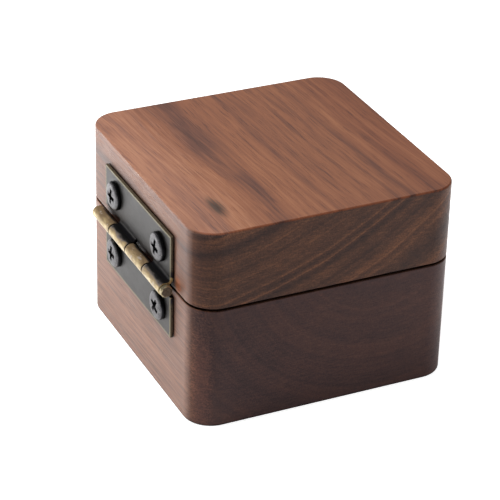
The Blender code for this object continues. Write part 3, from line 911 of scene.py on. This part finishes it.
def screw_mesh(name, low, high):
    """A pan head with a rounded shoulder, over a threaded shank that ends in a point."""
    centre = (low + high) / 2
    head = (high.x - low.x) / 2
    seat = high.y - SCREW_HEAD_HEIGHT
    neck = 0.5 * MM
    rings = threaded_rings(centre, low.y, seat - neck)
    profile = [(seat - neck, THREAD_CORE), (seat - 0.1 * MM, 0.72 * MM), (seat, THREAD_CREST),
               (seat, head - 0.06 * MM), (seat + 0.06 * MM, head)]
    side = 0.32 * SCREW_HEAD_HEIGHT
    shoulder_y = SCREW_HEAD_HEIGHT - side - 0.08 * MM
    shoulder_r = 0.30 * head
    for step in range(11):
        angle = math.pi / 2 * step / 10
        profile.append((seat + side + shoulder_y * math.sin(angle),
                        head - shoulder_r * (1 - math.cos(angle))))
    crown = high.y - profile[-1][0]
    for share in (0.8, 0.6, 0.4, 0.2, 0.06):
        profile.append((high.y - crown * share ** 2, (head - shoulder_r) * share))
    for y, radius in profile:
        rings.append(circle(radius, ROUND_STEPS, Vector((centre.x, y, centre.z)),
                            X_AXIS, Z_AXIS))
    return loft(name, rings, 30)


def cross_recess(name, centre, face_y, turn):
    """One of the two crossed slabs of a driver's recess, narrowing towards its bottom."""
    along = Vector((math.cos(turn), 0, math.sin(turn)))
    across = Vector((-math.sin(turn), 0, math.cos(turn)))
    half_span, half_width, depth, proud = 1.6 * MM, 0.42 * MM, 0.75 * MM, 0.5 * MM
    rings = []
    for y, share, width in ((face_y + proud, 1.3, 1.2), (face_y - depth, 0.45, 0.7)):
        middle = Vector((centre.x, y, centre.z))
        rings.append([middle + a * half_span * share * along + b * half_width * width * across
                      for a, b in ((1, 1), (-1, 1), (-1, -1), (1, -1))])
    return loft(name, rings)


def make_screws(finish):
    for label, degrees in RECESS_TURNS.items():
        node = f"hinge_screw_{label}"
        low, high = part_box(node)
        screw = stand_for(node, screw_mesh(node, low, high), finish)
        centre = (low + high) / 2
        tools = [cross_recess(f"{node}_recess_{quarter}", centre, high.y,
                              math.radians(degrees + quarter)) for quarter in (0, 90)]
        cut(screw, tools)
        screw.data.shade_smooth()
        screw.data.set_sharp_from_angle(angle=math.radians(30))
        soften_edges(screw, SCREW_EDGE)


# Magnets


def make_magnets(finish):
    for side in ("base", "lid"):
        for label in ("left", "right"):
            node = f"rim_magnet_{side}_{label}"
            low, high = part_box(node)
            centre = (low + high) / 2
            radius = (high.x - low.x) / 2
            edge = MAGNET_EDGE
            profile = [(low.z, radius - edge), (low.z + edge * 0.3, radius - edge * 0.3),
                       (low.z + edge, radius), (high.z - edge, radius),
                       (high.z - edge * 0.3, radius - edge * 0.3), (high.z, radius - edge)]
            rings = [circle(r, ROUND_STEPS, Vector((centre.x, centre.y, z)), X_AXIS, Y_AXIS)
                     for z, r in profile]
            stand_for(node, loft(node, rings, 60), finish)


# Ring insert and lid pad


def slab(node, finish, corner, edge):
    """A flat board or foam sheet with slightly rounded edges, filling its CAD box."""
    low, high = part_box(node)
    half = (high.x - low.x) / 2
    rings = rounded_edge(half, corner, low.z, edge, 1, -1, 3)[::-1]
    rings += rounded_edge(half, corner, high.z, edge, 1, 1, 3)
    stand_for(node, loft(node, rings, 50), finish)


def roll_rings(low, high, corner, edge, inset):
    """Rings up a padded roll whose top edge is rounded by the radius edge."""
    edge_steps, corner_steps = 10, 8
    half_x = (high.x - low.x) / 2 - inset
    half_y = (high.y - low.y) / 2 - inset
    centre_y = (low.y + high.y) / 2
    rings = [rounded_rectangle(half_x, half_y, corner, low.z, centre_y, corner_steps)]
    for step in range(edge_steps + 1):
        angle = math.pi / 2 * step / edge_steps
        pull = edge * (1 - math.cos(angle))
        z = high.z - inset - edge * (1 - math.sin(angle))
        rings.append(rounded_rectangle(half_x - pull, half_y - pull, corner + 0.5 * pull, z,
                                       centre_y, corner_steps))
    return rings


def puff(name, mesh, is_held, low, high, cap):
    """Swells a closed skin by cloth simulation under air pressure, and returns its mesh.

    Points where is_held(point) is true stay put. No point moves by more than cap, and none
    passes the walls, which are the X and Y faces of the box from low to high.
    """
    pad = bpy.data.objects.new(name, mesh)
    bpy.context.scene.collection.objects.link(pad)
    mesh.transform(Matrix.Scale(CLOTH_SCALE, 4))
    voxels = pad.modifiers.new("voxels", "REMESH")
    voxels.mode = "VOXEL"
    voxels.voxel_size = CLOTH_VOXEL * CLOTH_SCALE
    bake_modifiers(pad)
    start = [vertex.co / CLOTH_SCALE for vertex in pad.data.vertices]
    held = pad.vertex_groups.new(name="held")
    held.add([index for index, point in enumerate(start) if is_held(point)], 1.0, "ADD")
    cloth = pad.modifiers.new("cloth", "CLOTH")
    cloth.point_cache.frame_start = 1
    cloth.point_cache.frame_end = CLOTH_FRAMES
    for setting, value in CLOTH_SETTINGS.items():
        setattr(cloth.settings, setting, value)
    cloth.settings.effector_weights.gravity = 0
    cloth.settings.vertex_group_mass = "held"
    for number in range(1, CLOTH_FRAMES + 1):
        bpy.context.scene.frame_set(number)
    bake_modifiers(pad)
    bpy.context.scene.frame_set(1)
    swollen = pad.data
    swollen.transform(Matrix.Scale(1 / CLOTH_SCALE, 4))
    for vertex, origin in zip(swollen.vertices, start):
        moved = vertex.co - origin
        point = origin + moved * (cap / max(cap, moved.length))
        point.x = min(max(point.x, low.x), high.x)
        point.y = min(max(point.y, low.y), high.y)
        vertex.co = point
    bpy.data.objects.remove(pad)
    return swollen


def upholster(node, mesh, open_z, finish):
    """Shows a puffed skin as velvet with thickness, open where it meets the level open_z."""
    bm = bmesh.new()
    bm.from_mesh(mesh)
    hidden = [face for face in bm.faces
              if all(abs(vertex.co.z - open_z) < OPEN_DEPTH for vertex in face.verts)]
    bmesh.ops.delete(bm, geom=hidden, context="FACES")
    piece = stand_for(node, mesh_from(node, bm, 180), finish)
    finer = piece.modifiers.new("finer", "SUBSURF")
    finer.levels = 1
    finer.render_levels = 1
    pile = piece.modifiers.new("pile", "SOLIDIFY")
    pile.thickness = VELVET
    pile.offset = -1.0
    pile.use_even_offset = True
    bake_modifiers(piece)


def make_roll(label, finishes):
    """One of the two rolls that grip the ring: foam, and velvet drawn over it."""
    node = f"ring_foam_{label}"
    low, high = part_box(node)
    foam_rings = roll_rings(low, high, ROLL_FOAM_CORNER, ROLL_FOAM_EDGE, 0.0)
    stand_for(node, loft(node, foam_rings), finishes["foam"])
    node = f"ring_velvet_{label}"
    low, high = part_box(node)
    skin = loft(node, roll_rings(low, high, CAVITY_CORNER_RADIUS, ROLL_EDGE, VELVET_SLACK))
    swollen = puff(node, skin, lambda point: point.z < low.z + GLUED_DEPTH, low, high,
                   ROLL_SWELL)
    upholster(node, swollen, low.z, finishes["velvet"])


def make_lid_pad(finishes):
    """The lid's lining: card, thin foam, and velvet drawn over them."""
    slab("lid_pad_board", finishes["card"], PAD_CORNER, CARD_EDGE)
    slab("lid_pad_foam", finishes["foam"], PAD_CORNER, PAD_FOAM_EDGE)
    node = "lid_pad_velvet"
    low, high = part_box(node)
    half = (high.x - low.x) / 2 - VELVET_SLACK
    corner = CAVITY_CORNER_RADIUS - LINING_GAP
    rings = rounded_edge(half, corner, low.z + VELVET_SLACK, PAD_EDGE, 1, -1)[::-1]
    rings.append(rounded_rectangle(half, half, corner, high.z))
    swollen = puff(node, loft(node, rings), lambda point: point.z > high.z - GLUED_DEPTH,
                   low, high, PAD_SWELL)
    upholster(node, swollen, high.z, finishes["velvet"])


# Stage


def make_camera():
    """A camera at the photograph's viewing angle."""
    back = Vector((math.sin(CAMERA_AZIMUTH) * math.cos(CAMERA_ELEVATION),
                   -math.cos(CAMERA_AZIMUTH) * math.cos(CAMERA_ELEVATION),
                   math.sin(CAMERA_ELEVATION)))
    data = bpy.data.cameras.new("camera")
    data.lens = CAMERA_LENS
    data.sensor_width = 36.0
    data.clip_start = 0.01
    camera = bpy.data.objects.new("camera", data)
    bpy.context.scene.collection.objects.link(camera)
    camera.location = BOX_WIDTH * (Vector(CAMERA_AIM) + CAMERA_DISTANCE * back)
    look = (-back).to_track_quat("-Z", "Y")
    camera.rotation_mode = "QUATERNION"
    camera.rotation_quaternion = look @ Quaternion((0, 0, 1), CAMERA_ROLL)
    bpy.context.scene.camera = camera


def area_light(name, place, aim, size, power):
    """A soft light that neither the camera nor reflections show."""
    data = bpy.data.lights.new(name, "AREA")
    data.shape = "RECTANGLE"
    data.size, data.size_y = size
    data.energy = power
    light = bpy.data.objects.new(name, data)
    bpy.context.scene.collection.objects.link(light)
    light.location = place
    light.rotation_mode = "QUATERNION"
    light.rotation_quaternion = (Vector(aim) - Vector(place)).to_track_quat("-Z", "Y")
    light.visible_camera = False
    light.visible_glossy = False


def make_floor():
    """A pale floor that glows for the camera, so that its shadows stay faint.

    Reflections see another glow, strongest towards +X and -Y, which shines in the hinge and
    the wood.
    """
    mesh = bpy.data.meshes.new("floor")
    half = FLOOR_SIZE / 2
    mesh.from_pydata([(-half, -half, 0), (half, -half, 0), (half, half, 0), (-half, half, 0)],
                     [], [(0, 1, 2, 3)])
    g = Graph("floor")
    seen = g.node("ShaderNodeLightPath", output="Is Camera Ray")
    shining = g.node("ShaderNodeLightPath", output="Is Glossy Ray")
    x, y, _ = g.split(g.place())
    pool = g.math("MAXIMUM", g.range(x, 15.0, 80.0, 0.25, 1.15),
                  g.range(y, -20.0, -50.0, 0.25, 1.3))
    glow = g.add(g.times(seen, FLOOR_GLOW), g.times(shining, pool))
    g.set(Base_Color=(0.88, 0.88, 0.88), Roughness=1.0, Specular_IOR_Level=0.0,
          Emission_Color=(1.0, 1.0, 1.0), Emission_Strength=glow)
    mesh.materials.append(g.material)
    floor = bpy.data.objects.new("floor", mesh)
    floor.location.z = -FLOOR_GAP
    bpy.context.scene.collection.objects.link(floor)


def make_stage():
    make_floor()
    world = bpy.data.worlds.new("studio")
    bpy.context.scene.world = world
    world.use_nodes = True
    background = world.node_tree.nodes["Background"]
    background.inputs["Color"].default_value = (1, 1, 1, 1)
    background.inputs["Strength"].default_value = WORLD_GLOW
    for light in LIGHTS:
        area_light(*light)
    bpy.context.scene.view_settings.view_transform = "Standard"


def build():
    finishes = {"walnut_base": walnut_base(), "walnut_lid": walnut_lid(), "card": card(),
                "foam": foam(), "velvet": velvet()}
    make_boxes(finishes)
    golden = bronze("bronze_base", "hinge_leaf_base", 110.0, (0.200, 0.135, 0.075))
    greyed = bronze("bronze_lid", "hinge_leaf_lid", 64.0, (0.215, 0.180, 0.160))
    make_leaf("base", 0, -1, golden)
    make_leaf("lid", 1, 1, greyed)
    make_pin(pin_metal())
    make_screws(screw_metal())
    make_magnets(nickel())
    slab("insert_board", finishes["card"], CAVITY_CORNER_RADIUS - LINING_GAP, CARD_EDGE)
    make_roll("front", finishes)
    make_roll("rear", finishes)
    make_lid_pad(finishes)
    make_camera()
    make_stage()


build()
bpy.context.view_layer.update()
